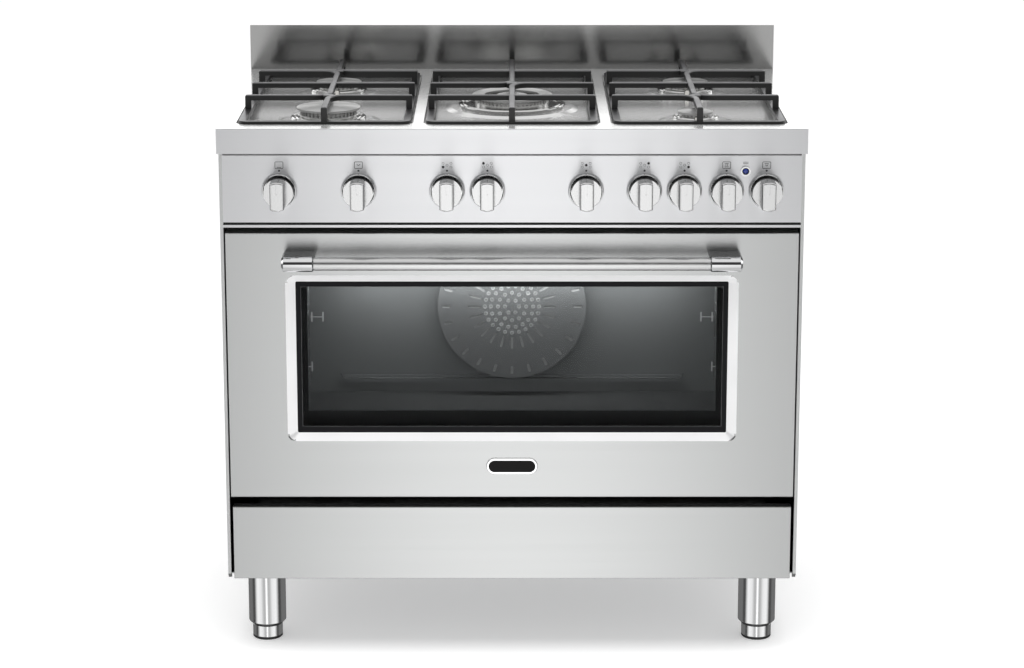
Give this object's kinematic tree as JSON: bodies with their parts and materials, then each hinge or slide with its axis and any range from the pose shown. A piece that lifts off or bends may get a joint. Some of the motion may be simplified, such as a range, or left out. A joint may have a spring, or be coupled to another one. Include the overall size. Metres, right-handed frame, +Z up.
{
  "type": "range cooker",
  "caption": "Free-standing stainless range cooker with a gas hob, cast pan supports, a wide glazed oven, a drop-down oven door and a storage flap.",
  "frame": {"origin": "centre of the overall footprint, on the floor under the feet", "axes": "+Z up, +Y towards the back, +X to the right as seen from the front"},
  "size_m": [0.9, 0.654, 0.926],
  "materials": {
    "brushed_steel": "brushed",
    "hob_steel": "satin",
    "chrome": "polished",
    "knob_metal": "satin metal",
    "galvanised": "galvanised",
    "enamel": "gloss enamel",
    "mineral_wool": "wool",
    "aluminium": "cast",
    "brass": "machined",
    "black_plastic": "moulded",
    "seal_rubber": "matt",
    "element_steel": "oxidised",
    "ceramic": "glazed",
    "clear_glass": "clear",
    "blue_glass": "jewel",
    "door_glass": "tinted",
    "cast_iron": "matt black"
  },
  "bodies": {
    "cabinet": {"side_panel_left": "brushed_steel", "side_panel_right": "brushed_steel", "back_panel": "galvanised", "base_frame": "galvanised", "front_frame": "enamel", "oven_cavity": "enamel", "oven_insulation": "mineral_wool", "door_seal": "seal_rubber", "hob_top": "hob_steel", "splashback": "brushed_steel", "control_panel": "brushed_steel", "gas_pipes": "aluminium", "gas_taps": "brass", "oven_switches": "black_plastic", "knob_bezels": "chrome", "indicator_lamp": "blue_glass", "leg_tubes": "chrome", "storage_box": "galvanised", "rack_supports": "chrome", "fan_cover": "enamel", "fan_motor": "galvanised", "heating_elements": "element_steel", "oven_lamp": "clear_glass", "burner_bases": "aluminium", "flame_crowns": "aluminium", "burner_caps": "aluminium", "igniters": "ceramic", "hinge_arms": "galvanised", "terminal_box": "galvanised"},
    "oven_door": {"door_panel": "brushed_steel", "door_liner": "enamel", "door_glass_outer": "door_glass", "door_glass_inner": "door_glass", "door_handle_bar": "chrome", "door_handle_brackets": "chrome", "door_badge": "chrome", "door_hinge_boxes": "galvanised"},
    "storage_flap": {"storage_flap": "brushed_steel"},
    "fan": {"fan_wheel": "aluminium"},
    "tap_front_left": {"tap_spindle_front_left": "brass"},
    "gas_knob_front_left": {"gas_knob_front_left": "knob_metal"},
    "tap_rear_left": {"tap_spindle_rear_left": "brass"},
    "gas_knob_rear_left": {"gas_knob_rear_left": "knob_metal"},
    "tap_centre": {"tap_spindle_centre": "brass"},
    "gas_knob_centre": {"gas_knob_centre": "knob_metal"},
    "tap_rear_right": {"tap_spindle_rear_right": "brass"},
    "gas_knob_rear_right": {"gas_knob_rear_right": "knob_metal"},
    "tap_front_right": {"tap_spindle_front_right": "brass"},
    "gas_knob_front_right": {"gas_knob_front_right": "knob_metal"},
    "oven_knob_thermostat": {"oven_knob_thermostat": "knob_metal"},
    "oven_knob_timer": {"oven_knob_timer": "knob_metal"},
    "oven_knob_selector": {"oven_knob_selector": "knob_metal"},
    "oven_knob_grill": {"oven_knob_grill": "knob_metal"},
    "pan_support_left": {"pan_support_left": "cast_iron"},
    "pan_support_centre": {"pan_support_centre": "cast_iron"},
    "pan_support_right": {"pan_support_right": "cast_iron"},
    "foot_front_left": {"foot_front_left": "chrome"},
    "foot_front_right": {"foot_front_right": "chrome"},
    "foot_rear_left": {"foot_rear_left": "chrome"},
    "foot_rear_right": {"foot_rear_right": "chrome"}
  },
  "joints": [
    {"name": "door_hinge", "type": "hinge", "parent": "cabinet", "child": "oven_door", "pos_m": [0, -0.248, 0.2785], "axis": [1, 0, 0], "range_deg": [0, 90]},
    {"name": "flap_hinge", "type": "hinge", "parent": "cabinet", "child": "storage_flap", "pos_m": [0, -0.258, 0.138], "axis": [1, 0, 0], "range_deg": [0, 90]},
    {"name": "fan_spin", "type": "hinge", "parent": "cabinet", "child": "fan", "pos_m": [0, 0.2, 0.464], "axis": [0, 1, 0], "continuous": true},
    {"name": "tap_turn_front_left", "type": "hinge", "parent": "cabinet", "child": "tap_front_left", "pos_m": [-0.099, -0.27, 0.754], "axis": [0, -1, 0], "range_deg": [0, 210]},
    {"name": "knob_push_front_left", "type": "slide", "parent": "tap_front_left", "child": "gas_knob_front_left", "axis": [0, 1, 0], "range_m": [0, 0.004], "stiffness_N_per_m": 1500},
    {"name": "tap_turn_rear_left", "type": "hinge", "parent": "cabinet", "child": "tap_rear_left", "pos_m": [-0.0375, -0.27, 0.754], "axis": [0, -1, 0], "range_deg": [0, 210]},
    {"name": "knob_push_rear_left", "type": "slide", "parent": "tap_rear_left", "child": "gas_knob_rear_left", "axis": [0, 1, 0], "range_m": [0, 0.004], "stiffness_N_per_m": 1500},
    {"name": "tap_turn_centre", "type": "hinge", "parent": "cabinet", "child": "tap_centre", "pos_m": [0.113, -0.27, 0.754], "axis": [0, -1, 0], "range_deg": [0, 210]},
    {"name": "knob_push_centre", "type": "slide", "parent": "tap_centre", "child": "gas_knob_centre", "axis": [0, 1, 0], "range_m": [0, 0.004], "stiffness_N_per_m": 1500},
    {"name": "tap_turn_rear_right", "type": "hinge", "parent": "cabinet", "child": "tap_rear_right", "pos_m": [0.202, -0.27, 0.754], "axis": [0, -1, 0], "range_deg": [0, 210]},
    {"name": "knob_push_rear_right", "type": "slide", "parent": "tap_rear_right", "child": "gas_knob_rear_right", "axis": [0, 1, 0], "range_m": [0, 0.004], "stiffness_N_per_m": 1500},
    {"name": "tap_turn_front_right", "type": "hinge", "parent": "cabinet", "child": "tap_front_right", "pos_m": [0.263, -0.27, 0.754], "axis": [0, -1, 0], "range_deg": [0, 210]},
    {"name": "knob_push_front_right", "type": "slide", "parent": "tap_front_right", "child": "gas_knob_front_right", "axis": [0, 1, 0], "range_m": [0, 0.004], "stiffness_N_per_m": 1500},
    {"name": "oven_turn_thermostat", "type": "hinge", "parent": "cabinet", "child": "oven_knob_thermostat", "pos_m": [-0.355, -0.27, 0.754], "axis": [0, 1, 0], "range_deg": [0, 290]},
    {"name": "oven_turn_timer", "type": "hinge", "parent": "cabinet", "child": "oven_knob_timer", "pos_m": [-0.234, -0.27, 0.754], "axis": [0, 1, 0], "range_deg": [0, 330]},
    {"name": "oven_turn_selector", "type": "hinge", "parent": "cabinet", "child": "oven_knob_selector", "pos_m": [0.327, -0.27, 0.754], "axis": [0, 1, 0], "continuous": true},
    {"name": "oven_turn_grill", "type": "hinge", "parent": "cabinet", "child": "oven_knob_grill", "pos_m": [0.388, -0.27, 0.754], "axis": [0, 1, 0], "range_deg": [0, 290]},
    {"name": "pan_support_lift_left", "type": "slide", "parent": "cabinet", "child": "pan_support_left", "axis": [0, 0, 1], "range_m": [0, 0.15]},
    {"name": "pan_support_lift_centre", "type": "slide", "parent": "cabinet", "child": "pan_support_centre", "axis": [0, 0, 1], "range_m": [0, 0.15]},
    {"name": "pan_support_lift_right", "type": "slide", "parent": "cabinet", "child": "pan_support_right", "axis": [0, 0, 1], "range_m": [0, 0.15]},
    {"name": "foot_screw_front_left", "type": "slide", "parent": "cabinet", "child": "foot_front_left", "axis": [0, 0, -1], "range_m": [0, 0.04]},
    {"name": "foot_screw_front_right", "type": "slide", "parent": "cabinet", "child": "foot_front_right", "axis": [0, 0, -1], "range_m": [0, 0.04]},
    {"name": "foot_screw_rear_left", "type": "slide", "parent": "cabinet", "child": "foot_rear_left", "axis": [0, 0, -1], "range_m": [0, 0.04]},
    {"name": "foot_screw_rear_right", "type": "slide", "parent": "cabinet", "child": "foot_rear_right", "axis": [0, 0, -1], "range_m": [0, 0.04]}
  ]
}
